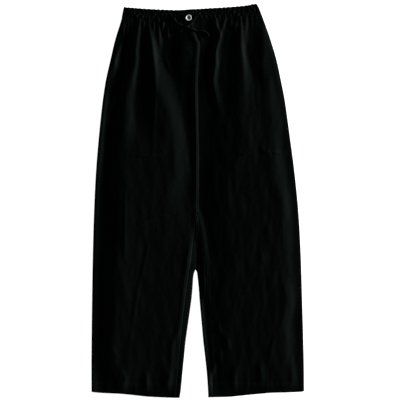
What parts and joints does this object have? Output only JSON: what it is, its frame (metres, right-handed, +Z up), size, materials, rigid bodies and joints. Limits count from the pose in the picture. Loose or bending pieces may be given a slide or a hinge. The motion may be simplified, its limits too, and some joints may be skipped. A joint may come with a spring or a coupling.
{
  "type": "drawstring trousers",
  "caption": "Wide straight-leg trousers laid flat, with a gathered elastic waistband, a flat button tab and a thin knotted drawstring.",
  "frame": {"origin": "middle of the outline seen from above, on the surface that the trousers lie on", "axes": "+X to the viewer's right across the garment, +Y from the hems to the waist, +Z up out of the surface, front side up"},
  "size_m": [0.5321, 0.9854, 0.0184],
  "materials": {
    "cloth": "soft black viscose-type twill with a slight lustre",
    "cord": "matt black braided cord",
    "button": "grey marbled polyester resin, satin rim"
  },
  "bodies": {
    "root": {"front_left": "cloth", "front_right": "cloth", "back_left": "cloth", "back_right": "cloth", "waistband_back": "cloth", "waistband_front_left": "cloth", "waistband_front_right": "cloth", "waistband_tab": "cloth", "button": "button", "drawstring_left_run": "cord", "drawstring_right_run": "cord", "drawstring_left_tail": "cord", "drawstring_right_tail": "cord", "drawstring_knot": "cord"}
  },
  "joints": []
}
